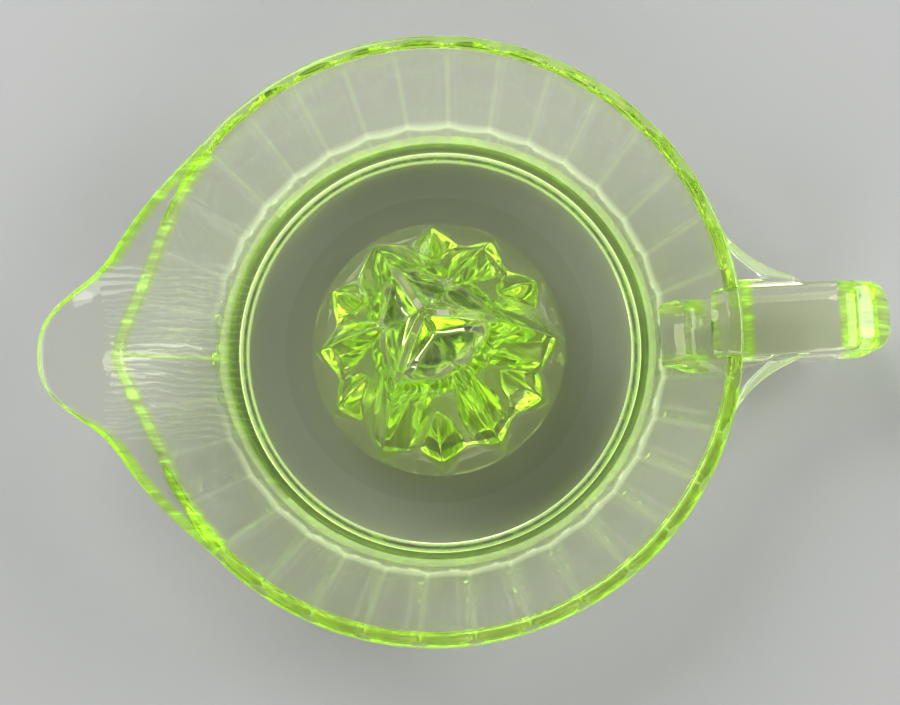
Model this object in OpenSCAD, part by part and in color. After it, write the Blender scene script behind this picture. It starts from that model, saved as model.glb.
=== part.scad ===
// Citrus reamer pressed in uranium glass: a panelled bowl with a pouring spout,
// a loop handle and a hollow ridged cone standing in the middle of the juice well.
// Origin: bowl axis at the table. +Z up, +X towards the handle, -X towards the spout.

/* [Bowl] */
// Diameter over the rim
rim_d = 152; // [148:1:158]
// Height of the rim above the table
rim_h = 38; // [37:0.5:41]
// Height of the plain collar under the rim
collar_h = 4.5; // [3.5:0.5:5]
// Thickness of the panelled wall
wall_t = 4.6; // [4.2:0.1:4.8]
// Number of panels round the outside, an even number
panel_count = 34; // [32:2:36]
// Depth of the groove between two panels
groove_depth = 0.45; // [0.3:0.05:0.6]

/* [Foot and juice well] */
// Outside diameter of the foot ring
foot_d = 108; // [106:1:110]
// Width of the foot ring
foot_w = 2.5; // [2:0.1:3.5]
// Height of the foot ring under the well floor
foot_h = 2.5; // [2:0.5:3]
// Thickness of the well floor
floor_t = 4; // [3.5:0.5:4.5]

/* [Spout] */
// Distance from the bowl axis to the lip of the spout
spout_reach = 99; // [94:1:104]
// Depth of the trough below the rim, where the wall turns out into the spout
spout_dip = 8; // [6:0.5:9]

/* [Handle] */
// Distance from the bowl axis to the end of the handle
handle_reach = 115; // [112:1:118]
// Width of the handle bar
bar_w = 17.5; // [14:0.5:19]
// Thickness of the handle bar
bar_t = 6.5; // [5.5:0.5:7]
// Height of the finger gap
finger_gap = 17; // [15:1:18]
// Thickness of the two webs beside the top bar
web_t = 3.2; // [2.5:0.1:4]

/* [Reamer cone] */
// Height of the tip above the table
cone_h = 80; // [76:1:84]
// Radius of the cone at its base
cone_r = 33.8; // [32:0.2:35]
// Steepness of the flanks on each side of a crest
flank = 2.5; // [2.4:0.05:2.6]

/* [Hidden] */
$fn = 96;

thin_glass = [0.72, 0.86, 0.45, 0.75];
thick_glass = [0.45, 0.80, 0.10, 0.85];

rim_r = rim_d / 2;
foot_r = foot_d / 2;
floor_z = foot_h + floor_t;
collar_z = rim_h - collar_h;

// The wall leans outward in a straight line from the panel foot to the collar.
panel_foot = [foot_r + 5.3, foot_h + 2];
panel_top = [rim_r - 0.8, collar_z];
lean = (panel_top.x - panel_foot.x) / (panel_top.y - panel_foot.y);
lean_length = sqrt(1 + lean * lean);
function inner_line(z) = panel_foot.x - wall_t * lean_length + lean * (z - panel_foot.y);
rim_inner_r = inner_line(rim_h);

// The well floor runs flat as far as the cove that turns up into the wall.
cove_length = 2.6;
cove_start = inner_line(floor_z) - cove_length;

panel_angle = 360 / panel_count;
spout_half = 4 * panel_angle;

function mix(a, b, t) = a + (b - a) * t;
function reverse_list(list) = [for (i = [len(list) - 1:-1:0]) list[i]];
function arc(centre, r, from, to, steps) =
  [for (i = [0:steps]) centre + r * [cos(mix(from, to, i / steps)), sin(mix(from, to, i / steps))]];
function bezier(a, b, c, steps) =
  [for (i = [0:steps]) let (t = i / steps) mix(mix(a, b, t), mix(b, c, t), t)];

// Shape of the spout against the angle from its own axis: how far the trough dips, how far
// the lip reaches past the rim, and how far the inner edge is pulled out to a beak.
function dip_share(d) = (1 + cos(180 * d / spout_half)) / 2;
function lip_reach(d) =
  rim_r + (spout_reach - rim_r) * (0.43 * pow(dip_share(d), 0.75) + 0.57 * exp(-pow(abs(d) / 10.9, 2.9)));
function beak_pull(d) = 7.4 * exp(-pow(abs(d) / 12, 1.6));
function inner_edge(d) = [rim_inner_r + beak_pull(d), rim_h - spout_dip * dip_share(d)];
function lip_edge(d) = [lip_reach(d), rim_h - dip_share(d)];
function outer_bend(d) = inner_edge(d) + [2.8 + 0.6 * dip_share(d), -collar_h + dip_share(d)];

// Inside of the bowl in a radial plane, from the well floor up to the inner edge.
function inner_side(d, top) =
  let (corner = [inner_line(floor_z), floor_z], rise = (top - corner) / norm(top - corner))
  concat(bezier([cove_start, floor_z], corner, corner + cove_length * rise, 4), [top]);

// Underside of the bowl in a radial plane, from the cove out to the panel foot.
under_side = [
  [cove_start, foot_h], [foot_r, foot_h], [foot_r + 1.4, foot_h + 0.3], panel_foot
];

// Closed skin round a stack of sections that all have the same number of points.
module skin(sections) {
  n = len(sections[0]);
  last = len(sections) - 1;
  points = [for (s = sections) each s];
  sides = [for (i = [0:last - 1], j = [0:n - 1]) let (a = i * n + j, b = i * n + (j + 1) % n)
    each [[a, b, b + n], [a, b + n, a + n]]];
  polyhedron(points, concat(sides, [[for (j = [n - 1:-1:0]) j], [for (j = [0:n - 1]) last * n + j]]));
}

// Part of a ring that leaves the spout's sector free.
module open_ring() {
  rotate([0, 0, spout_half - 180])
    rotate_extrude(angle = 360 - 2 * spout_half) children();
}

module foot_ring() color(thick_glass) rotate_extrude()
  polygon([
    [foot_r - foot_w, foot_h], [foot_r - foot_w, 0.6], [foot_r - foot_w + 0.6, 0],
    [foot_r - 0.6, 0], [foot_r, 0.6], [foot_r, foot_h]
  ]);

flange_r = cone_r + 7.2;

module well_floor() color(thin_glass) rotate_extrude()
  polygon([[flange_r, foot_h], [cove_start, foot_h], [cove_start, floor_z], [flange_r, floor_z]]);

module bowl_wall() color(thin_glass) difference() {
  open_ring() polygon(concat(
    under_side, [panel_top], reverse_list(inner_side(spout_half, [inner_line(collar_z), collar_z]))
  ));
  for (i = [5:panel_count - 5]) rotate([0, 0, 180 + i * panel_angle])
    groove();
}

// Square bar laid along the leaning wall, one corner cut into the glass.
module groove() {
  side = groove_depth * sqrt(2);
  translate([panel_foot.x, 0, panel_foot.y])
    rotate([0, atan(lean), 0])
      rotate([0, 0, 45])
        translate([-side / 2, -side / 2, -6])
          cube([side, side, norm(panel_top - panel_foot) + 5.5]);
}

module rim_collar() color(thick_glass) open_ring() polygon(concat(
  [[inner_line(collar_z), collar_z], [rim_r, collar_z]],
  arc([rim_r - 1, rim_h - 1], 1, 0, 90, 4),
  arc([rim_inner_r + 0.9, rim_h - 0.9], 0.9, 90, 180, 4)
));

// One radial section of the spout at an angle from its axis, from the cove out to the lip.
function spout_section(d, bulge) =
  let (
    bend = outer_bend(d),
    edge = inner_edge(d),
    lip = lip_edge(d),
    lip_t = collar_h - dip_share(d),
    wall_out = [for (t = [0, 0.33, 0.67, 1]) mix(panel_foot, bend, t) + [bulge, 0]],
    rz = concat(
      [for (i = [0:2]) under_side[i]], wall_out,
      [lip - [0, lip_t], lip - [0, 1], lip - [0.4, 0.3], lip - [1, 0]],
      [mix(edge, lip, 0.5) - [0, 0.4 * dip_share(d)], edge + [1, 0], edge + [0.2, -0.3]],
      reverse_list(inner_side(d, edge - [0.3, 1]))
    )
  )
  [for (p = rz) [-p.x * cos(d), -p.x * sin(d), p.y]];

module pouring_spout() color(thin_glass) {
  quarters = 16;
  skin([for (i = [-quarters:quarters])
    let (d = i * panel_angle / 4, across = (abs(i) % 4) / 4)
    spout_section(d, groove_depth * 4 * across * (1 - across) - groove_depth * 0.5)]);
}

// Plain solid of everything inside the outer line of the bowl, for trimming what meets it.
module bowl_outside() rotate_extrude() polygon([
  [0, foot_h], [foot_r, foot_h], panel_foot, panel_top, [rim_r, collar_z], [rim_r, rim_h + 1], [0, rim_h + 1]
]);

bar_top_z = rim_h - 0.8;
bend_r = (finger_gap + bar_t) / 2;
bend_x = handle_reach - bar_t / 2 - bend_r + 0.2;
bar_high = bar_top_z - bar_t / 2;
bar_low = bar_high - 2 * bend_r;
end_r = bar_w / 2 + 0.5;

// Cross-section of the handle bar, a rectangle with round corners.
module bar_section(corner = 0.42 * bar_t) {
  square([bar_t, bar_w - 2 * corner], center = true);
  square([bar_t - 2 * corner, bar_w], center = true);
  for (x = [-1, 1], y = [-1, 1])
    translate([x * (bar_t / 2 - corner), y * (bar_w / 2 - corner)]) circle(corner, $fn = 24);
}

module straight_bar(from_x, z) difference() {
  translate([from_x, 0, z]) rotate([0, 90, 0]) linear_extrude(bend_x - from_x) bar_section();
  bowl_outside();
}

module handle_top_bar() color(thin_glass) straight_bar(rim_r - 6, bar_high);

module handle_lower_bar() color(thick_glass) straight_bar(foot_r, bar_low);

// The loop's end is half round when seen from above.
module handle_bend() color(thick_glass) intersection() {
  translate([bend_x, 0, bar_low + bend_r]) rotate([90, 0, 0]) rotate([0, 0, -90])
    rotate_extrude(angle = 180) translate([bend_r, 0]) bar_section();
  translate([0, 0, bar_low - bar_t]) linear_extrude(2 * bend_r + 2 * bar_t) {
    translate([handle_reach - end_r, 0]) circle(end_r);
    translate([bend_x - 1, -end_r]) square([handle_reach - end_r - bend_x + 1, 2 * end_r]);
  }
}

web_reach = 93;
web_angle = 17.5;

// Thin plate between the rim and the top bar, its free edge a hollow curve.
module handle_web(side) color(thin_glass) difference() {
  root = rim_r * [cos(web_angle), side * sin(web_angle)];
  beside = [web_reach, side * bar_w / 2];
  translate([0, 0, collar_z + 0.2]) linear_extrude(web_t) polygon(concat(
    [[rim_r - 3, side * bar_w / 2], (rim_r - 3) * [cos(web_angle), side * sin(web_angle)]],
    bezier(root, [rim_r + 2, side * (bar_w / 2 + 4.8)], beside, 10)
  ));
  bowl_outside();
}

// Crest height of a ridge at a distance from the cone's axis. kind 0 is a long blade that
// reaches the tip, kind 1 a middle ridge, kind 2 a short one that starts low on the flank.
ridge_foot_z = floor_z + 1.5;
crest_top = [cone_h, cone_h - 12, cone_h - 39];
crest_bend = [1.84, 1.7, 4];
function crest(kind, s) =
  crest_top[kind] - (crest_top[kind] - ridge_foot_z) * pow(max(s, 0) / (cone_r - 0.5), crest_bend[kind]);
function kind_of(k) = k % 4 == 0 ? 0 : (k % 4 == 2 ? 1 : 2);

skirt_slope = 0.95;
skirt_step = 0.6;
function skirt(r) = floor_z + skirt_slope * (cone_r - r);
core_turn_r = cone_r - 8.8;
core_top = [5, cone_h - 14];
function core_line(r) =
  r > core_turn_r ? skirt(r) : (r < core_top.x ? core_top.y :
  mix(core_top.y, skirt(core_turn_r), (r - core_top.x) / (core_turn_r - core_top.x)));

// Height of the cone's outside: the highest of the twelve roofs and the skirt.
function ridge_height(r, a) = max(concat([skirt(r) + skirt_step], [for (k = [0:11])
  let (d = a - 30 * k, s = r * cos(d))
  s > 0 ? crest(kind_of(k), s) - flank * abs(r * sin(d)) : 0]));

tip_r = 2;

// One ridge: a wedge of thirty degrees between the cone core and the outside of the cone.
module ridge(k) {
  rows = 11;
  columns = 6;
  function row_r(i) = mix(tip_r, cone_r, pow(i / rows, 0.85));
  function point(r, a, z) = [r * cos(a), r * sin(a), z];
  skin([for (i = [0:rows]) let (r = row_r(i)) concat(
    [for (j = [0:columns]) let (a = 30 * k - 15 + 30 * j / columns) point(r, a, ridge_height(r, a))],
    [for (j = [columns:-1:0]) let (a = 30 * k - 15 + 30 * j / columns) point(r, a, core_line(r))]
  )]);
}

module long_blade(i) color(thick_glass) ridge(4 * i);

module middle_ridge(i) color(thick_glass) ridge(4 * i + 2);

module short_ridge(i) color(thick_glass) ridge(2 * i + 1);

module cone_tip() color(thin_glass) rotate_extrude()
  polygon([[0, core_top.y], [tip_r, core_top.y], [tip_r, cone_h - 2.6], [0.9, cone_h - 0.4], [0, cone_h]]);

hollow_r = 11;
hollow_z = cone_h - 36;
hollow_foot = [cone_r - 9.8, floor_z + 2.5];

// Radius and centre of the arc that spreads the hollow out to the underside of the floor.
spread_x = flange_r - hollow_foot.x;
spread_z = hollow_foot.y - foot_h;
spread_r = (spread_x * spread_x + spread_z * spread_z) / (2 * spread_z);

module cone_core() color(thin_glass) rotate_extrude() polygon(concat(
  [[0, core_top.y], core_top, [core_turn_r, skirt(core_turn_r)], [cone_r, floor_z], [flange_r, floor_z]],
  arc([flange_r, foot_h + spread_r], spread_r, 270, 270 - atan2(spread_x, spread_r - spread_z), 6),
  arc([0, hollow_z], hollow_r, 0, 90, 8)
));

foot_ring();
well_floor();
bowl_wall();
rim_collar();
pouring_spout();
handle_top_bar();
handle_bend();
handle_lower_bar();
handle_web(1);  // handle_web_left
handle_web(-1);  // handle_web_right
cone_core();
cone_tip();
for (i = [0:2]) long_blade(i);
for (i = [0:2]) middle_ridge(i);
for (i = [0:5]) short_ridge(i);
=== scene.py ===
import bmesh
import bpy
import numpy as np
from mathutils import Matrix, Vector


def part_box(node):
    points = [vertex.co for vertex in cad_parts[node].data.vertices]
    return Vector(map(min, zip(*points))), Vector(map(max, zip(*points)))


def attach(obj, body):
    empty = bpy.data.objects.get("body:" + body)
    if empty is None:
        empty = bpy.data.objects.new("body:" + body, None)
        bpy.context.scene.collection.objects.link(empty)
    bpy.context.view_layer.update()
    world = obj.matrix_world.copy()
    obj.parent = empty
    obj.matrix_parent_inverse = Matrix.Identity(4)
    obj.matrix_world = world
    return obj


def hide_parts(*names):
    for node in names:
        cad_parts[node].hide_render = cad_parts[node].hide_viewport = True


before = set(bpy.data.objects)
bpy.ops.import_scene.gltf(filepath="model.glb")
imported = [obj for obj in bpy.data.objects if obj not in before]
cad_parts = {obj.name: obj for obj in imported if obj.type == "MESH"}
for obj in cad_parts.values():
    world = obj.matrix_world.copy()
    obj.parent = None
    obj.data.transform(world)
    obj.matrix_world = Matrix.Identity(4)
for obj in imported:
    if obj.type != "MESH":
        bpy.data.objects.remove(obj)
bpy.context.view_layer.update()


# The foot ring: a low round ring under the edge of the juice well that the reamer stands on.
# It is pressed in one with the bowl from uranium glass, and its edges are softened by the
# fire polish. Its top is hidden inside the glass of the bowl.
MM = 0.001
GAP = 0.01  # half the space left between two features of the pressing, so that no faces coincide
TURN_STEPS = 34 * 12  # stations round the bowl, a whole number for each of the outside's panels
SHARP_ANGLE = np.radians(32)


def corners_of(node):
    """Lowest and highest corner of a CAD node in millimetres."""
    low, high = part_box(node)
    return np.array(low) / MM, np.array(high) / MM


def unit(vectors):
    """Each vector divided by its length."""
    return vectors / np.maximum(np.linalg.norm(vectors, axis=-1, keepdims=True), 1e-9)


def outline(corners, radius, bends, spans, cuts=(), closed=True):
    """Rounded outline through corners, an array of stations x corners x 2.

    At each corner the outline follows the quadratic curve (1-t)^2 A + 2t(1-t) C + t^2 B, where A
    and B lie one radius from the corner C along its two edges, or at 0.45 of a shorter edge.
    bends and spans are the steps in each curve and each edge, and cuts the edges hidden in glass.
    Gives the points, whether the step after each point is hidden, and each point's owner: the
    number of its corner, or that and a half along the edge after it.
    """
    radius = np.broadcast_to(np.asarray(radius, float), corners.shape[:2])
    back = np.roll(corners, 1, axis=1) - corners
    ahead = np.roll(corners, -1, axis=1) - corners
    room = 0.45 * np.minimum(np.linalg.norm(back, axis=2), np.linalg.norm(ahead, axis=2))
    reach = np.minimum(radius, room)[..., None]
    start, end = corners + unit(back) * reach, corners + unit(ahead) * reach
    parts, hidden, owner = [], [], []
    last = corners.shape[1] - 1
    for k, (bend, span) in enumerate(zip(bends, spans)):
        t = np.linspace(0, 1, bend + 1)[None, :, None]
        curve = (1 - t) ** 2 * start[:, k, None] + 2 * t * (1 - t) * corners[:, k, None]
        curve = curve + t**2 * end[:, k, None]
        if not closed and k in (0, last):
            curve = corners[:, k, None]
        parts.append(curve)
        owner += [k] * curve.shape[1]
        hidden += [False] * (curve.shape[1] - 1)
        if not closed and k == last:
            break
        t = np.linspace(0, 1, span + 1)[None, 1:-1, None]
        meets_axis = not closed and k + 1 == last
        edge_end = corners[:, last, None] if meets_axis else start[:, (k + 1) % (last + 1), None]
        parts.append((1 - t) * curve[:, -1:] + t * edge_end)
        owner += [k + 0.5] * (span - 1)
        hidden += [k in cuts] * span
    return np.concatenate(parts, axis=1), hidden, np.array(owner)


def turned(section, angles):
    """Points (r, z) of each station turned about the bowl's axis, by degrees from the spout."""
    turn = np.radians(angles)[:, None]
    r, z = section[..., 0], section[..., 1]
    return np.stack([-r * np.cos(turn), -r * np.sin(turn), z], axis=2)


def glass_piece(
    name, path, hidden, nodes, glass, painted_glow=0.0, painted_shade=0.0, painted_highlight=0.0, ring=True, poles=False, roots=False
):
    """Closed glass skin over path, an array of stations x points x 3 in millimetres.

    Quads join each station's outline to the next one's. A ring's last station joins its first,
    and other pieces are closed by a flat cap at each end, hidden in the glass next to it. With
    poles, each outline is open and runs from the axis to the axis, where its points are merged.
    The face attribute inside_glass is 1 on hidden faces, and 0.5 on seen ones that the handle
    may grow out of. The three point attributes, in the order of the arguments after glass, say
    how strongly a painted green glow and green tint lie on the glass there, how dark painted shade
    makes it, and how much painted pale highlight a sharp edge of the mould gets.
    """
    stations, points = path.shape[:2]
    i, j = np.meshgrid(
        np.arange(stations if ring else stations - 1),
        np.arange(points - 1 if poles else points),
        indexing="ij",
    )
    across, along = (i + 1) % stations, (j + 1) % points
    here, there = i * points, across * points
    quads = np.stack([here + j, there + j, there + along, here + along], axis=2)
    faces = quads.reshape(-1, 4).tolist()
    seen = 0.5 if roots else 0.0
    masks = np.tile(np.where(hidden[: j.shape[1]], 1.0, seen), i.shape[0]).tolist()
    if not ring:
        faces += [list(range(points)), list(range((stations - 1) * points, stations * points))]
        masks += [1.0, 1.0]
    mesh = bpy.data.meshes.new(name)
    mesh.from_pydata((path.reshape(-1, 3) * MM).tolist(), [], faces)
    mesh.attributes.new("inside_glass", "FLOAT", "FACE").data.foreach_set("value", masks)
    for attribute, values in (("painted_glow", painted_glow), ("painted_shade", painted_shade), ("painted_highlight", painted_highlight)):
        values = np.broadcast_to(np.asarray(values, float), (stations, points)).ravel()
        mesh.attributes.new(attribute, "FLOAT", "POINT").data.foreach_set("value", values)
    skin = bmesh.new()
    skin.from_mesh(mesh)
    bmesh.ops.remove_doubles(skin, verts=skin.verts, dist=1e-7)
    bmesh.ops.dissolve_degenerate(skin, edges=skin.edges, dist=1e-8)
    bmesh.ops.recalc_face_normals(skin, faces=skin.faces)
    skin.to_mesh(mesh)
    skin.free()
    mesh.shade_smooth()
    mesh.set_sharp_from_angle(angle=SHARP_ANGLE)
    piece = bpy.data.objects.new(name, mesh)
    bpy.context.scene.collection.objects.link(piece)
    mesh.materials.append(glass)
    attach(piece, "root")
    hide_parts(*nodes)


class Socket:
    """A socket of a shader tree. Sums and products of sockets and numbers add Math nodes."""

    def __init__(self, tree, out):
        self.tree, self.out = tree, out

    def node(self, kind, settings=None, **inputs):
        """Adds a node, makes its settings, then fills its inputs.

        An input goes by its name, with _ for a space, or by its number after an i.
        """
        made = self.tree.nodes.new(kind)
        for name, value in (settings or {}).items():
            setattr(made, name, value)
        for name, value in inputs.items():
            numbered = name[0] == "i" and name[1:].isdigit()
            slot = made.inputs[int(name[1:]) if numbered else name.replace("_", " ")]
            if isinstance(value, Socket):
                self.tree.links.new(value.out, slot)
            else:
                slot.default_value = value
        return made

    def of(self, made, output=0):
        return Socket(self.tree, made.outputs[output])

    def maths(self, operation, *values):
        inputs = {f"i{k}": value for k, value in enumerate(values)}
        return self.of(self.node("ShaderNodeMath", {"operation": operation}, **inputs))

    def blend(self, share, first, second, clamp=True):
        """Colour that goes from first to second as share goes from 0 to 1, and past that range only if clamp
        is False.
        """
        first, second = (v if isinstance(v, Socket) else (*v, 1) for v in (first, second))
        settings = {"data_type": "RGBA", "clamp_factor": clamp}
        return self.of(self.node("ShaderNodeMix", settings, i0=share, i6=first, i7=second), 2)

    def __add__(self, other):
        return self.maths("ADD", self, other)

    def __sub__(self, other):
        return self.maths("SUBTRACT", self, other)

    def __rsub__(self, other):
        return self.maths("SUBTRACT", other, self)

    def __mul__(self, other):
        return self.maths("MULTIPLY", self, other)

    def __truediv__(self, other):
        return self.maths("DIVIDE", self, other)

    def __lt__(self, other):
        return self.maths("LESS_THAN", self, other)

    def __gt__(self, other):
        return self.maths("GREATER_THAN", self, other)

    def __abs__(self):
        return self.maths("ABSOLUTE", self)

    __radd__, __rmul__ = __add__, __mul__


top_low, top_high = corners_of("handle_top_bar")
low_low, low_high = corners_of("handle_lower_bar")
web_low, web_high = corners_of("handle_web_left")
BAR_CORNER = 2.9
ROOT_FILLET = 3.5
# Green tint laid in the base colour with the painted glow, then the emission colours of the painted green
# glow and of the painted pale highlights on edges.
VIVID_TINT = (0.72, 0.96, 0.3)
PAINTED_GLOW_COLOUR = (0.045, 0.1, 0.003)
PAINTED_HIGHLIGHT_COLOUR = (0.5, 0.6, 0.34)


def glass_material(
    name,
    absorb,
    waves=0.1,
    streaks=(300.0, 300.0, 300.0),
    radial=False,
    painted_shade_tint=(0.3, 0.5, 0.1),
    tooled=False,
    painted_glow_share=1.0,
):
    """Yellow-green glass that takes absorb (red, green, blue) off per metre of path.

    Where the glow attribute is high the skin gets a painted green glow, an emission though the
    glass is no lamp, and a green tint, in streaks stretched by streaks (turns per metre along X, Y
    and Z), or running out from the cone's axis if radial. The share argument for the glow scales
    it. Where the shade attribute is high, what is seen through the skin takes the shade tint:
    painted shade. Where the highlight attribute is high the skin gets a painted pale highlight. A
    tooled skin has fine wavy lines that run down to the spout, in its bump and as painted
    highlights. Faces cut through the pressing, and the places where the handle grows out of the
    bowl, are let through by Alpha, so that the pieces look like one body. The skin has the long
    soft waves of the fire polish, fine ripples and tiny pits.
    """
    material = bpy.data.materials.new(name)
    material.use_nodes = True
    tree = material.node_tree
    tree.nodes.clear()
    sheet = Socket(tree, None)
    place = sheet.of(sheet.node("ShaderNodeTexCoord"), 3)
    split = sheet.node("ShaderNodeSeparateXYZ", Vector=place)
    x, y, z = (sheet.of(split, axis) for axis in "XYZ")

    def footprint(half_width, low, high, corner):
        """1 inside a box with round corners in the plane across the handle, elsewhere 0."""
        middle, half = (low + high) / 2, (high - low) / 2
        beyond_y = sheet.maths("MAXIMUM", abs(y) - (half_width - corner) * MM, 0.0)
        beyond_z = sheet.maths("MAXIMUM", abs(z - middle * MM) - (half - corner) * MM, 0.0)
        return (beyond_y * beyond_y + beyond_z * beyond_z) < (corner * MM) ** 2

    bar_half = (top_high[1] - top_low[1]) / 2
    corner = BAR_CORNER * 0.7
    root = footprint(bar_half, top_low[2] - ROOT_FILLET, top_high[2], corner)
    root = sheet.maths("MAXIMUM", root, footprint(bar_half, low_low[2], low_high[2] + ROOT_FILLET, corner))
    root = sheet.maths("MAXIMUM", root, footprint(web_high[1], web_low[2], web_high[2], 1.0))
    outer = z * lean + (panel_foot[0] - 2 - lean * panel_foot[1]) * MM
    root = root * (x > 0.0) * ((x * x + y * y) > outer * outer)
    cut = sheet.of(sheet.node("ShaderNodeAttribute", {"attribute_name": "inside_glass"}), "Fac")
    seen = 1 - sheet.maths("MAXIMUM", cut > 0.75, (cut > 0.25) * root)

    painted_glow = sheet.of(sheet.node("ShaderNodeAttribute", {"attribute_name": "painted_glow"}), "Fac")
    if radial:
        r = sheet.maths("SQRT", x * x + y * y) + 0.0005
        stretched = sheet.node("ShaderNodeCombineXYZ", X=x / r * 22.0, Y=y / r * 22.0, Z=r * 70.0)
        stretched = sheet.of(stretched)
    else:
        stretched = sheet.of(sheet.node("ShaderNodeMapping", Vector=place, Scale=streaks))
    painted_shade = sheet.of(sheet.node("ShaderNodeAttribute", {"attribute_name": "painted_shade"}), "Fac")
    painted_highlight = sheet.of(sheet.node("ShaderNodeAttribute", {"attribute_name": "painted_highlight"}), "Fac")
    grain = sheet.node("ShaderNodeTexNoise", Vector=stretched, Scale=1.0, Detail=5.0, Distortion=0.8)
    grain = sheet.of(grain, "Fac")
    glow = painted_glow * sheet.maths("POWER", grain * 1.85, 4.0) * painted_glow_share
    shade = painted_glow * (0.1 + grain * 1.6)

    waves_height = sheet.of(sheet.node("ShaderNodeTexNoise", Vector=place, Scale=90.0, Detail=1.0), "Fac")
    ripple = sheet.of(sheet.node("ShaderNodeTexNoise", Vector=place, Scale=700.0, Detail=3.0), "Fac")
    pits = sheet.of(sheet.node("ShaderNodeTexVoronoi", Vector=place, Scale=160.0), "Distance")
    pits = sheet.maths("MINIMUM", pits, 0.05) * 6.0
    height = waves_height + ripple * 0.05 + pits * 0.1 + glow * 0.1
    if tooled:
        combed = sheet.node(
            "ShaderNodeTexWave",
            {"bands_direction": "Y"},
            Vector=place,
            Scale=150.0,
            Distortion=6.0,
            Detail=2.0,
            Detail_Scale=0.6,
        )
        tooled_strip = (abs(y) < 0.022) * (x > -0.083)
        combed = sheet.of(combed, "Fac") * tooled_strip
        height = height + combed * 0.7
        # The wavy lines also get painted highlights.
        painted_highlight = painted_highlight + sheet.maths("POWER", combed, 12.0) * 0.12
    # Emission paints the green glow and the pale highlights onto the glass, which is no lamp.
    green = sheet.blend(glow, (0, 0, 0), PAINTED_GLOW_COLOUR, clamp=False)
    bump = sheet.node("ShaderNodeBump", Strength=waves, Distance=0.0006, Height=height)
    # The painted shade darkens the base colour towards the shade tint, and with it what is seen through the
    # glass.
    shader = sheet.node(
        "ShaderNodeBsdfPrincipled",
        Base_Color=sheet.blend(painted_shade, sheet.blend(shade, (1, 1, 1), VIVID_TINT), painted_shade_tint),
        Roughness=0.012,
        IOR=1.51,
        Transmission_Weight=1.0,
        Alpha=seen,
        Normal=sheet.of(bump, "Normal"),
        Emission_Color=sheet.blend(painted_highlight, green, PAINTED_HIGHLIGHT_COLOUR),
        Emission_Strength=1.0,
    )
    absorb = np.array(absorb)
    depth = sheet.node(
        "ShaderNodeVolumeAbsorption", Color=(*(1 - absorb / absorb.max()), 1), Density=float(absorb.max())
    )
    output = sheet.node("ShaderNodeOutputMaterial")
    tree.links.new(shader.outputs[0], output.inputs["Surface"])
    tree.links.new(depth.outputs[0], output.inputs["Volume"])
    return material


rim_low, rim_high = corners_of("rim_collar")
rim_r = rim_high[1]
panel_foot = np.array([corners_of("foot_ring")[1][0] + 5.3, corners_of("foot_ring")[1][2] + 2])
panel_top = np.array([rim_r - 0.8, rim_low[2]])
lean = (panel_top - panel_foot)[0] / (panel_top - panel_foot)[1]
clear_glass = glass_material("uranium_glass_clear", (4.5, 0.8, 24))

foot_high = corners_of("foot_ring")[1]
foot_r, foot_z = foot_high[0], foot_high[2]
FOOT_WIDTH = 2.5
round_turn = np.arange(TURN_STEPS) * 360 / TURN_STEPS
foot_corners = [
    [foot_r - FOOT_WIDTH, foot_z - GAP],
    [foot_r - FOOT_WIDTH, 0],
    [foot_r, 0],
    [foot_r, foot_z - GAP],
]
foot_section, foot_hidden, foot_owner = outline(
    np.tile(foot_corners, (TURN_STEPS, 1, 1)), [0, 0.6, 0.6, 0], [0, 6, 6, 0], [2, 3, 2, 1], cuts=[3]
)
# The foot ring gets a painted green glow all round and painted highlights, strongest on its lower rounded
# edges.
glass_piece(
    "foot_ring_glass",
    turned(foot_section, round_turn),
    foot_hidden,
    ["foot_ring"],
    clear_glass,
    painted_glow=0.9,
    painted_highlight=0.15 + 0.5 * np.isin(foot_owner, [1, 2]),
)


# The floor of the juice well: a flat, plain disc of glass between the cone and the cove of the
# wall, pressed flat on both sides.
floor_high = corners_of("well_floor")[1]
flange_r = corners_of("cone_core")[1][0]
cove_r, floor_z = floor_high[0], floor_high[2]
floor_corners = [
    [flange_r + GAP, foot_z],
    [foot_r - FOOT_WIDTH, foot_z],
    [cove_r - GAP, foot_z],
    [cove_r - GAP, floor_z],
    [flange_r + GAP, floor_z],
]
floor_section, floor_hidden, _ = outline(
    np.tile(floor_corners, (TURN_STEPS, 1, 1)), [0] * 5, [0] * 5, [4, 1, 1, 4, 1], cuts=[1, 2, 4]
)
glass_piece("well_floor_glass", turned(floor_section, round_turn), floor_hidden, ["well_floor"], clear_glass)


# The wall of the bowl: leaning glass, smooth inside and pressed into gently bulging panels
# outside, with a groove between each two. A cove joins it to the floor of the juice well.
PANELS = 34
PANEL_ANGLE = 360 / PANELS
SPOUT_HALF = 4 * PANEL_ANGLE
PANEL_BULGE = 1.0
GROOVE = 0.5
WALL = 4.6
COLLAR = 4.5
COVE = 3.6
PANEL_STEP = 0.5
EDGE_Z, EDGE_ARCH = 8.4, 1.7
rim_z = rim_high[2]
collar_z = rim_low[2]


def inner_line(z):
    """Radius of the inside of the wall at a height: the outside's straight line, moved inwards."""
    return panel_foot[0] - WALL * np.sqrt(1 + lean**2) + lean * (z - panel_foot[1])


def bulge(angles):
    """How far a panel stands out at an angle: a parabola between two grooves."""
    share = np.mod(angles / PANEL_ANGLE, 1)
    return PANEL_BULGE * 4 * share * (1 - share) - GROOVE


def corner_rows(angles, *corners):
    """Corners (r, z), each a number or one number per station, as stations x corners x 2."""
    return np.stack([np.stack(np.broadcast_arrays(r, z, angles)[:2], axis=-1) for r, z in corners], axis=1)


wall_turn = np.linspace(SPOUT_HALF + 0.01, 360 - SPOUT_HALF - 0.01, (PANELS - 8) * 12 + 1)


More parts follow.
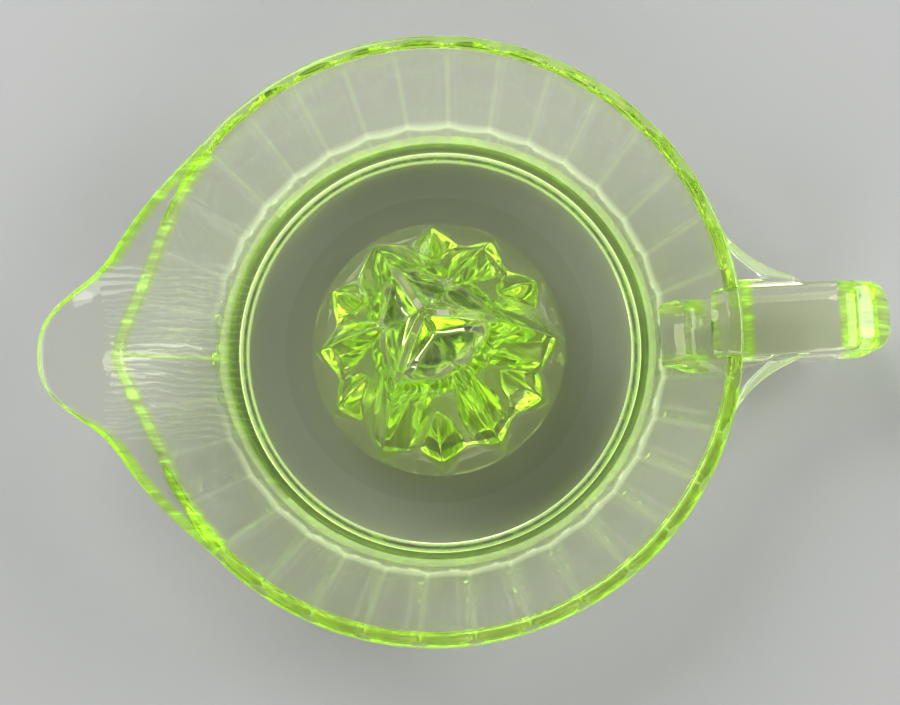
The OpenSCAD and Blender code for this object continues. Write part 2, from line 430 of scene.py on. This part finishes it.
def panel_edge(angles, push):
    """Corners at the lower edge of the panels, where they step out from the band below.

    The edge is arched: its height falls by a parabola from the groove to the panel's middle.
    push is how much of the step is there, from 0 to 1; the bulge is always all there.
    """
    share = np.mod(angles / PANEL_ANGLE, 1)
    edge_z = EDGE_Z - EDGE_ARCH * 4 * share * (1 - share)
    line = panel_foot[0] + lean * (edge_z - panel_foot[1])
    below = (line - 0.3 * lean + 0.5 * bulge(angles), edge_z - 0.3)
    above = (line + 0.5 * lean + push * PANEL_STEP + bulge(angles), edge_z + 0.5)
    return below, above


wall_bulge = bulge(wall_turn)
wall_corners = corner_rows(
    wall_turn,
    (cove_r + GAP, foot_z),
    (foot_r, foot_z + GAP),
    (foot_r + 1.4, foot_z + 0.3),
    (panel_foot[0] + 0.5 * wall_bulge, panel_foot[1]),
    *panel_edge(wall_turn, 1),
    (panel_top[0] - 0.2 + wall_bulge, collar_z - GAP),
    (inner_line(collar_z), collar_z - GAP),
    (inner_line(floor_z), floor_z),
    (cove_r + GAP, floor_z),
)
wall_section, wall_hidden, wall_owner = outline(
    wall_corners,
    [0, 0, 0.5, 1.0, 0.25, 0.3, 0, 0, COVE, 0],
    [0, 0, 3, 5, 3, 3, 0, 0, 14, 0],
    [3, 2, 2, 5, 1, 12, 4, 14, 1, 2],
    cuts=[0, 6, 9],
)


def groove_lines(angles):
    """1 in the groove between two panels, falling as a bell curve to 0 within a tenth of a panel."""
    share = np.mod(angles / PANEL_ANGLE, 1)
    return np.exp(-((np.minimum(share, 1 - share) / 0.05) ** 2))[:, None]


def painted_edge_highlight(owner, angles):
    """Painted highlights on the panels' scalloped edge, on the top of the cove and in the grooves."""
    outside = (owner > 3) & (owner < 6)
    cove_top = np.zeros(len(owner))
    cove_top[np.flatnonzero(owner == 8)[0]] = 1
    return 0.6 * (owner == 5) + 0.3 * (owner == 3) + 0.12 * outside * groove_lines(angles) + 0.5 * cove_top


# Painted green glow on the band below the panels and the step under them, and faintly along the grooves. The
# cove gets painted shade, and the scalloped edge, the cove's top and the grooves painted highlights.
wall_panels = (wall_owner > 5) & (wall_owner < 6)
wall_painted_glow = 1.2 * ((wall_owner == 3) | (wall_owner == 2.5)) + 0.7 * (wall_owner == 4)
wall_painted_glow = wall_painted_glow + 0.3 * wall_panels * groove_lines(wall_turn)
glass_piece(
    "bowl_wall_glass",
    turned(wall_section, wall_turn),
    wall_hidden,
    ["bowl_wall"],
    clear_glass,
    wall_painted_glow,
    1.0 * (wall_owner == 8),
    painted_edge_highlight(wall_owner, wall_turn),
    ring=False,
    roots=True,
)


# The collar: a plain round band that stiffens the rim above the panels. Its top edges are
# rounded by the fire polish, and it overhangs the panels by a small ledge.
rim_glass = glass_material("uranium_glass_rim", (9, 1.4, 45), streaks=(90, 90, 260))
collar_section, collar_hidden, collar_owner = outline(
    corner_rows(
        wall_turn,
        (inner_line(collar_z), collar_z + GAP),
        (panel_top[0] - 0.2 + wall_bulge, collar_z + GAP),
        (rim_r, collar_z),
        (rim_r, rim_z),
        (inner_line(rim_z), rim_z),
    ),
    [0, 0, 0.4, 1.3, 1.2],
    [0, 0, 4, 8, 8],
    [4, 1, 3, 3, 4],
    cuts=[0],
)
# Painted green glow on the collar, strongest on its ledge and outer face, less on its top outer edge, faint
# elsewhere.
glass_piece(
    "rim_collar_glass",
    turned(collar_section, wall_turn),
    collar_hidden,
    ["rim_collar"],
    rim_glass,
    1.2 * ((collar_owner > 0.6) & (collar_owner < 3)) + 0.5 * (collar_owner == 3) + 0.1,
    ring=False,
    roots=True,
)


# The spout: eight panels' width of the wall, drawn out to a beak. The inner edge turns out into
# a shallow trough that runs to the lip, and the rim follows the trough's edge.
spout_glass = glass_material(
    "uranium_glass_spout", (4.5, 0.8, 24), waves=0.16, streaks=(60, 420, 60), tooled=True
)
spout_reach = -corners_of("pouring_spout")[0][0]
SPOUT_DIP = 8.0
spout_turn = np.linspace(-SPOUT_HALF, SPOUT_HALF, 8 * 18 + 1)
off_axis = np.abs(spout_turn)
dip = (1 + np.cos(np.pi * off_axis / SPOUT_HALF)) / 2
BEAK_SHARE, BEAK_HALF = 0.57, 10.9
FLARE, FLARE_HALF = 7.4, 12
beak = BEAK_SHARE * np.exp(-((off_axis / BEAK_HALF) ** 2.9))
lip_r = rim_r + (spout_reach - rim_r) * ((1 - BEAK_SHARE) * dip**0.75 + beak)
edge_r = inner_line(rim_z) + FLARE * np.exp(-((off_axis / FLARE_HALF) ** 1.6))
edge_z = rim_z - SPOUT_DIP * dip
lip_z = rim_z - dip
lip_thick = COLLAR - dip
spout_bulge = bulge(spout_turn)
spout_corners = corner_rows(
    spout_turn,
    (cove_r + GAP, foot_z),
    (foot_r, foot_z + GAP),
    (foot_r + 1.4, foot_z + 0.3),
    (panel_foot[0] + 0.5 * spout_bulge, panel_foot[1]),
    *panel_edge(spout_turn, 1 - dip),
    (edge_r + 2.8 + 0.6 * dip + spout_bulge * (1 - dip), edge_z - COLLAR + dip),
    (lip_r, lip_z - lip_thick),
    (lip_r, lip_z),
    ((edge_r + lip_r) / 2, (edge_z + lip_z) / 2 - 0.4 * dip),
    (edge_r, edge_z),
    (inner_line(floor_z), floor_z),
    (cove_r + GAP, floor_z),
)
corner_radius = [0, 0, 0.5, 1.0, 0.25, 0.3, 0.1, 0.5, 1.3, 1.0, 1.0, COVE, 0]
spout_radius = np.tile(corner_radius, (len(spout_turn), 1))
spout_radius[:, 6] += 3 * dip
spout_radius[:, 9] += 6 * dip
spout_radius[:, 10] += 0.3 * dip
spout_section, spout_hidden, spout_owner = outline(
    spout_corners,
    spout_radius,
    [0, 0, 3, 5, 3, 3, 6, 4, 8, 6, 10, 14, 0],
    [3, 2, 2, 5, 1, 12, 4, 3, 6, 6, 16, 1, 2],
    cuts=[0, 12],
)
# Painted green glow on the band below the panels, along the trough's inner edge, the lip's sides and the
# mould seam, and painted highlights on the panels' edges, the grooves, the seam and the beak's tip. The cove
# gets painted shade.
from_edge = np.hypot(spout_section[..., 0] - edge_r[:, None] - 0.3, spout_section[..., 1] - edge_z[:, None])
inner_band = 3.0 * np.clip(1.8 - from_edge, 0, 1) * (spout_owner > 8.6)
from_lip = np.hypot(spout_section[..., 0] - lip_r[:, None], 0.4 * (spout_section[..., 1] - lip_z[:, None]))
lip_line = 1.5 * np.clip(3.1 - from_lip, 0, 1) * (np.clip(off_axis / 12 - 0.6, 0, 1))[:, None]
seam = np.exp(-((spout_turn / 0.35) ** 2))[:, None] * ((spout_owner > 10) & (spout_owner < 11))
panel_side = (1 - dip)[:, None]
spout_panels = (spout_owner > 3) & (spout_owner < 6)
spout_painted_glow = 1.2 * ((spout_owner == 3) | (spout_owner == 2.5)) + 0.7 * (spout_owner == 4) * panel_side
spout_painted_glow = spout_painted_glow + inner_band + lip_line + 2 * seam
spout_painted_highlight = 0.6 * (spout_owner == 5) * panel_side + 0.3 * (spout_owner == 3)
spout_painted_highlight = spout_painted_highlight + 0.12 * spout_panels * groove_lines(spout_turn) + 0.1 * seam
beak_tip = np.clip(1 - off_axis / 14, 0, 1)[:, None]
spout_painted_highlight = spout_painted_highlight + 0.35 * (spout_owner == 8) * beak_tip
glass_piece(
    "pouring_spout_glass",
    turned(spout_section, spout_turn),
    spout_hidden,
    ["pouring_spout"],
    spout_glass,
    spout_painted_glow,
    1.0 * (spout_owner == 11),
    spout_painted_highlight,
    ring=False,
)


# The top bar of the handle, with the two thin webs that spread from it to the rim. It grows out
# of the collar and the wall, so its root follows their outside.
handle_glass = glass_material("uranium_glass_handle", (4.5, 0.8, 24), streaks=(60, 700, 60))
bend_low, bend_high = corners_of("handle_bend")
bend_x = bend_low[0]
bar_half = (top_high[1] - top_low[1]) / 2
bar_thick = top_high[2] - top_low[2]
WEB_ANGLE = np.radians(17.5)
WEB_END = 93
web_t = np.linspace(0, 1, 40)[:, None]
web_root = rim_r * np.array([np.cos(WEB_ANGLE), np.sin(WEB_ANGLE)])
web_pull = np.array([rim_r + 2, bar_half + 4.8])
web_curve = (1 - web_t) ** 2 * web_root + 2 * web_t * (1 - web_t) * web_pull
web_curve = web_curve + web_t**2 * [WEB_END, bar_half]


def bowl_outside(y, z):
    """Distance along +X at which the bowl's outside lies, at a height and off the handle's axis."""
    off = np.degrees(np.arcsin(np.clip(y / rim_r, -1, 1)))
    wall = panel_foot[0] + lean * (np.maximum(z, panel_foot[1]) - panel_foot[1]) + bulge(180 + off)
    r = np.where(z > collar_z, rim_r, wall)
    return np.sqrt(r**2 - y**2) + GAP


def bar_path(section, steps):
    """Stations of a bar section (y, z) from the bowl's outside to the start of the bend."""
    y, z = section[..., 0], section[..., 1]
    root = bowl_outside(y, z)
    return np.stack([root + (bend_x - GAP - root) * steps[:, None], y, z], axis=2)


top_steps = np.linspace(0, 1, 70) ** 1.4
half = np.full_like(top_steps, web_root[1])
for _ in range(15):
    start = bowl_outside(half, np.full_like(half, web_high[2]))
    half = np.interp(start + (bend_x - start) * top_steps, web_curve[:, 0], web_curve[:, 1])
bar_mid = (top_low[2] + top_high[2]) / 2
spread = half - bar_half
fade = np.clip(spread / 1.5, 0, 1)
web_top = bar_mid + (web_high[2] - bar_mid) * fade
web_under = bar_mid + (web_low[2] - bar_mid) * fade
BEAD, PANE_DEPTH = 2.6, 0.9
pane = np.clip((spread - BEAD - 1.5) / 2, 0, 1)
bead_in = half - np.minimum(BEAD, spread * 0.5)
pane_out = half - np.minimum(BEAD + 0.6, spread * 0.6)
pane_in = bar_half + np.minimum(1.2, spread * 0.3)
rib_in = bar_half + np.minimum(0.6, spread * 0.15)


def root_fillet(steps):
    """How far the bar widens where it meets the wall: a parabola that fades over 5 mm."""
    return ROOT_FILLET * np.clip(1 - steps * 28 / 5, 0, 1) ** 2


right = [
    (bar_half, top_high[2]),
    (bar_half, web_top + 0.02),
    (rib_in, web_top),
    (pane_in, web_top - PANE_DEPTH * pane - 0.01),
    (pane_out, web_top - PANE_DEPTH * pane - 0.01),
    (bead_in, web_top + 0.01),
    (half + 0.02, web_top),
    (half + 0.02, web_under),
    (bead_in, web_under - 0.01),
    (pane_out, web_under + 0.5 * PANE_DEPTH * pane),
    (pane_in, web_under + 0.5 * PANE_DEPTH * pane),
    (rib_in, web_under - 0.01),
    (bar_half, web_under - 0.02),
    (bar_half, top_low[2] - root_fillet(top_steps)),
]
left = [(-y, z) for y, z in reversed(right)]
top_bends = [8, 2, 2, 2, 2, 3, 6, 6, 3, 2, 2, 2, 2, 8]
top_section, top_hidden, top_owner = outline(
    corner_rows(top_steps, *right, *left),
    [BAR_CORNER, 0.5, 0.3, 0.5, 0.5, 0.8, 1.5, 1.5, 0.8, 0.5, 0.5, 0.3, 0.5, BAR_CORNER] * 2,
    top_bends + top_bends,
    ([1, 1, 1, 2, 1, 1, 1, 1, 1, 2, 1, 1, 1, 6]) * 2,
)
top_path = bar_path(top_section, top_steps)
# Two painted green glow lines across the top bar, and a painted glow and painted highlights on the webs'
# beads.
OUTER_LINE, INNER_LINE = 77.5, 72.5
painted_glow_lines = np.exp(-(((top_path[..., 0] - OUTER_LINE) / 1.2) ** 2))
painted_glow_lines = painted_glow_lines + np.exp(-(((top_path[..., 0] - INNER_LINE) / 1.5) ** 2))
bead_owners = np.arange(5, 8.5, 0.5)
bead = np.isin(np.mod(top_owner, 14), bead_owners) & (np.abs(top_owner - 13.5) > 0.6)
on_bar = np.abs(top_path[..., 1]) < bar_half + 0.5
top_painted_glow = 1.6 * painted_glow_lines * on_bar + 0.35 * bead * fade[:, None]
glass_piece(
    "handle_top_bar_glass",
    top_path,
    top_hidden,
    ["handle_top_bar", "handle_web_left", "handle_web_right"],
    handle_glass,
    top_painted_glow,
    painted_highlight=0.2 * bead * fade[:, None],
    ring=False,
)


# The lower bar of the handle runs back under the finger gap into the foot of the wall.
low_steps = np.linspace(0, 1, 40)
bar_top = low_high[2] + root_fillet(low_steps)
flat_bar = [(bar_half, bar_top), (bar_half, low_low[2]), (-bar_half, low_low[2]), (-bar_half, bar_top)]
low_section, low_hidden, _ = outline(
    corner_rows(low_steps, *flat_bar), [BAR_CORNER] * 4, [8] * 4, [2, 6, 2, 6]
)
low_path = bar_path(low_section, low_steps)
# Painted green glow on the lower bar's outer sides near the bowl.
low_painted_glow = 2.0 * np.clip((73 - low_path[..., 0]) / 3, 0, 1) * np.clip(np.abs(low_path[..., 1]) - 5.5, 0, 1)
glass_piece(
    "handle_lower_bar_glass",
    low_path,
    low_hidden,
    ["handle_lower_bar"],
    handle_glass,
    low_painted_glow,
    ring=False,
)


# The bend closes the loop of the handle: a half turn of the same bar, whose outer side is
# rounded off so that the loop's end is half round from above.
bend_mid = (bend_low[2] + bend_high[2]) / 2
bend_outer = (bend_high[2] - bend_low[2]) / 2
bend_steps = np.radians(np.linspace(89.98, -89.98, 64))
inner = bend_outer - bar_thick - 0.6 * np.cos(bend_steps) ** 2
bend_section, bend_hidden, bend_owner = outline(
    corner_rows(
        bend_steps, (bar_half, bend_outer), (bar_half, inner), (-bar_half, inner), (-bar_half, bend_outer)
    ),
    [BAR_CORNER] * 4,
    [8] * 4,
    [2, 16, 2, 16],
)
bend_y, radial, swing = bend_section[..., 0], bend_section[..., 1], bend_steps[:, None]
END_R, END_SOFT = bar_half + 0.5, 0.5
end_limit = bend_high[0] - END_R + np.sqrt(END_R**2 - bend_y**2)
short_of_end = (end_limit - bend_x - radial * np.cos(swing)) / END_SOFT
bend_reach = end_limit - END_SOFT * np.logaddexp(0, short_of_end)
bend_path = np.stack([bend_reach, bend_y, bend_mid + radial * np.sin(swing)], axis=2)
# Painted green glow over the end of the loop: the last 11 mm on its inner face, the last 7 mm elsewhere.
glow_start = bend_high[0] - np.where(np.isin(bend_owner, [1, 1.5, 2]), 11.0, 7.0)
bend_painted_glow = 2.0 * np.clip((bend_path[..., 0] - glow_start) / 1.2, 0, 1)
glass_piece("handle_bend_glass", bend_path, bend_hidden, ["handle_bend"], handle_glass, bend_painted_glow, ring=False)


# The core of the cone: a hollow shell of glass, smooth below where the plunger left it and
# hidden above under the ridges. It spreads out at the bottom into the floor of the well.
# The cone's painted shade is nearly black, and its painted green glow weaker than elsewhere.
cone_glass = glass_material(
    "uranium_glass_cone",
    (6, 1, 32),
    waves=0.06,
    radial=True,
    painted_shade_tint=(0.09, 0.11, 0.08),
    painted_glow_share=0.28,
)
core_high = corners_of("cone_core")[1]
cone_r = flange_r - 7.2
cone_h = corners_of("cone_tip")[1][2]
SKIRT_SLOPE = 0.95
SKIRT_STEP = 0.6
core_turn = cone_r - 8.8
core_top = np.array([5.0, core_high[2]])
hollow_r, hollow_z = 11.0, cone_h - 36
hollow_top = hollow_z + hollow_r
hollow_foot = np.array([cone_r - 9.8, floor_z + 2.5])
hollow_lean = (hollow_foot[0] - hollow_r) / (hollow_z - hollow_foot[1])


def skirt(r):
    """Height of the cone's skirt, which rises inwards from the floor at a constant slope."""
    return floor_z + SKIRT_SLOPE * (cone_r - r)


def core_line(r):
    """Height of the core's outside: skirt, then a straight line up to the flat core top."""
    slope = (core_top[1] - skirt(core_turn)) / (core_turn - core_top[0])
    cone = np.minimum(skirt(core_turn) + slope * (core_turn - r), core_top[1])
    return np.where(r > core_turn, skirt(r), cone)


core_corners = [
    [0, core_top[1] - GAP],
    [core_top[0], core_top[1] - GAP],
    [core_turn, skirt(core_turn) - GAP],
    [cone_r - GAP, floor_z],
    [flange_r - GAP, floor_z],
    [flange_r - GAP, foot_z],
    [hollow_foot[0] + hollow_lean * (hollow_foot[1] - foot_z), foot_z],
    [hollow_r, hollow_z],
    [hollow_r - 0.7, hollow_top],
    [0, hollow_top],
]
core_section, core_hidden, core_owner = outline(
    np.tile(core_corners, (TURN_STEPS // 2, 1, 1)),
    [0, 0, 0, 0, 0, 0, 14, 4, 9.8, 0],
    [0, 0, 0, 0, 0, 0, 24, 6, 20, 0],
    [4, 24, 6, 4, 2, 1, 16, 4, 1, 1],
    cuts=[0, 1, 2, 4],
    closed=False,
)
half_turn = np.arange(TURN_STEPS // 2) * 720 / TURN_STEPS
# A little painted shade on the flange where the cone meets the floor of the well.
glass_piece(
    "cone_core_glass",
    turned(core_section, half_turn),
    core_hidden,
    ["cone_core"],
    cone_glass,
    painted_shade=0.12 * ((core_owner >= 3) & (core_owner <= 4)),
    poles=True,
)


# The twelve ridges that tear the fruit. Three long blades meet in a Y at the tip, three middle
# ridges lie between them, and six short ones start low on the cone. Crests are left fairly
# sharp and the valleys are rounded by the mould.
CREST_TOP = np.array([cone_h, cone_h - 12, cone_h - 39])
CREST_BEND = np.array([1.84, 1.7, 4.0])
FLANK = 2.5
BLADE_FLAT = 0.7
CREST_ROUND = 0.3
TIP_R = 2.0
# The ridges' green beyond PETAL_START is a painted glow, and the dark patches between the blades are painted
# shade.
PETAL_START = 11.5  # distance from the axis at which the ridges start to glow green
PATCH_START, PATCH_END = 4.2, 11.0  # where the clear, dark patches between the blades lie
ridge_foot_z = floor_z + 1.5
KINDS = [0, 2, 1, 2] * 3


def crest(kind, s):
    """Height of a crest at a distance from the axis: it drops from the top by a power of s."""
    share = np.maximum(s, 0) / (cone_r - 0.5)
    return CREST_TOP[kind] - (CREST_TOP[kind] - ridge_foot_z) * share ** CREST_BEND[kind]


def cone_surface(r, angle):
    """Height of the cone's outside over the point (r, angle), angles in degrees from the handle.

    Each ridge is a roof: its crest's height less FLANK times the distance beside the crest. The
    surface is the smooth maximum of the roofs and the skirt, k log(sum(exp(z / k))).
    """
    soft = 0.3 + 1.0 * np.exp(-r / 7)
    roofs = [skirt(r) + SKIRT_STEP]
    for k, kind in enumerate(KINDS):
        turn = np.radians(angle - 30 * k)
        s, side = r * np.cos(turn), np.abs(r * np.sin(turn))
        flat = BLADE_FLAT * np.clip((18 - s) / 6, 0, 1) if kind == 0 else 0.0
        side = np.sqrt(np.maximum(side - flat, 0) ** 2 + CREST_ROUND**2) - CREST_ROUND
        roofs.append(np.where(s > 0, crest(kind, s) - FLANK * side, -200.0))
    roofs = np.stack(roofs)
    peak = roofs.max(axis=0)
    return peak + soft * np.log(np.exp((roofs - peak) / soft).sum(axis=0)) - soft * 0.2


ridge_rows = TIP_R + (cone_r - TIP_R) * np.linspace(0, 1, 90) ** 0.9
fan = np.linspace(-1, 1, 37)
fan = 14.98 * np.sign(fan) * np.abs(fan) ** 1.4
for k, kind in enumerate(KINDS):
    rows, fans = np.meshgrid(ridge_rows, 30 * k + fan, indexing="ij")
    outside = np.maximum(cone_surface(rows, fans), core_line(rows) + 3 * GAP)
    inside = core_line(rows) + GAP
    loop_r = np.concatenate([rows, rows[:, ::-1]], axis=1)
    loop_a = np.radians(np.concatenate([fans, fans[:, ::-1]], axis=1))
    loop_z = np.concatenate([outside, inside], axis=1)
    ridge_path = np.stack([loop_r * np.cos(loop_a), loop_r * np.sin(loop_a), loop_z], axis=2)
    steps = len(fan) - 1
    ridge_hidden = [False] * steps + [True] * (steps + 2)
    node = ["long_blade_", "middle_ridge_", "short_ridge_"][kind] + str([k // 4, k // 4, k // 2][kind] + 1)
    # Painted green glow on the ridges above the skirt beyond PETAL_START, painted shade in the patches
    # between the blades, and painted highlights along the long blades' crests near the tip.
    above_skirt = np.clip((loop_z - skirt(loop_r) - SKIRT_STEP - 0.4) / 1.2, 0, 1)
    ridge_painted_glow = np.clip((loop_r - PETAL_START) / 1.5, 0, 1) * above_skirt
    off_blade = np.abs(np.mod(np.degrees(loop_a) + 60, 120) - 60)
    off_blade = loop_r * np.sin(np.radians(off_blade))
    patch_r = PATCH_END + 1.3 * np.sin(3 * loop_a + 1) + 0.9 * np.sin(11 * loop_a)
    in_patch = np.clip((patch_r - loop_r) / 0.6, 0, 1) * np.clip((loop_r - PATCH_START) / 0.6, 0, 1)
    ridge_painted_shade = 0.95 * in_patch * np.clip((off_blade - 1.8) / 0.5, 0, 1)
    ridge_painted_highlight = 0.12 * np.clip((13 - loop_r) / 2, 0, 1) * np.clip((1.3 - off_blade) / 0.5, 0, 1)
    glass_piece(
        node + "_glass",
        ridge_path,
        ridge_hidden,
        [node],
        cone_glass,
        ridge_painted_glow,
        ridge_painted_shade,
        ridge_painted_highlight,
        ring=False,
    )


# The tip: the small crown where the three long blades run together over the core.
tip_turn = np.arange(144) * 2.5
tip_r = (TIP_R - GAP) * np.linspace(1, 0, 16)
tip_grid_r, tip_grid_a = np.meshgrid(tip_r, tip_turn, indexing="xy")
tip_z = cone_surface(tip_grid_r, tip_grid_a)
tip_side = np.stack([np.full_like(tip_turn, TIP_R - GAP), np.full_like(tip_turn, core_top[1] + GAP)], axis=1)
tip_foot = np.stack([np.zeros_like(tip_turn), np.full_like(tip_turn, core_top[1] + GAP)], axis=1)
tip_section = np.concatenate(
    [tip_foot[:, None], tip_side[:, None], np.stack([tip_grid_r, tip_z], axis=2)], axis=1
)
tip_hidden = [True, True] + [False] * (len(tip_r) - 1)
glass_piece(
    "cone_tip_glass",
    turned(tip_section, tip_turn + 180),
    tip_hidden,
    ["cone_tip"],
    cone_glass,
    poles=True,
)


# The table top, a plain pale sheet, and the soft lights of a studio.
def plain(name, colour, roughness):
    """An even, matt material."""
    material = bpy.data.materials.new(name)
    material.use_nodes = True
    shader = material.node_tree.nodes["Principled BSDF"]
    shader.inputs["Base Color"].default_value = (*colour, 1)
    shader.inputs["Roughness"].default_value = roughness
    return material


bpy.ops.mesh.primitive_plane_add(size=4)
table = bpy.context.object
table.name = "table_top"
table.data.materials.append(plain("pale_paper", (0.5, 0.505, 0.5), 0.7))


def soft_light(name, place, target, size, power, tint=(1, 1, 1)):
    """A square area light at a place, turned to face a target."""
    light = bpy.data.lights.new(name, "AREA")
    light.shape, light.size, light.energy, light.color = "SQUARE", size, power, tint
    lamp = bpy.data.objects.new(name, light)
    lamp.location = place
    lamp.rotation_euler = (Vector(target) - Vector(place)).to_track_quat("-Z", "Y").to_euler()
    bpy.context.scene.collection.objects.link(lamp)


soft_light("key", (-0.5, 0.75, 0.75), (0, 0, 0.03), 0.8, 11)
soft_light("right_window", (0.95, 0.3, 0.55), (0, 0, 0.03), 0.6, 6)
soft_light("front_fill", (0.1, -1.0, 0.6), (0, 0, 0.03), 0.8, 7)
world = bpy.data.worlds.new("studio")
world.use_nodes = True
world.node_tree.nodes["Background"].inputs["Color"].default_value = (0.97, 0.98, 1.0, 1)
world.node_tree.nodes["Background"].inputs["Strength"].default_value = 0.17
bpy.context.scene.world = world
bpy.context.scene.view_settings.view_transform = "Standard"
cycles = bpy.context.scene.cycles
cycles.max_bounces = cycles.transmission_bounces = cycles.glossy_bounces = 16
cycles.transparent_max_bounces = 32


# The camera looks down almost along the cone, from the front of the bowl.
VIEW_DISTANCE = 0.4
VIEW_TILT, VIEW_LEAN, VIEW_ROLL = np.radians([6.4, 19.7, -2.81])
camera_data = bpy.data.cameras.new("camera")
camera_data.lens = 60.04
camera = bpy.data.objects.new("camera", camera_data)
bpy.context.scene.collection.objects.link(camera)
bpy.context.scene.camera = camera
aim = Matrix.Rotation(VIEW_ROLL, 4, "Z") @ Vector((0.003, -0.001, 0)) + Vector((0, 0, floor_z * MM))
camera.matrix_world = (
    Matrix.Translation(aim)
    @ Matrix.Rotation(VIEW_ROLL + VIEW_LEAN, 4, "Z")
    @ Matrix.Rotation(VIEW_TILT, 4, "X")
    @ Matrix.Rotation(-VIEW_LEAN, 4, "Z")
    @ Matrix.Translation((0, 0, VIEW_DISTANCE))
)
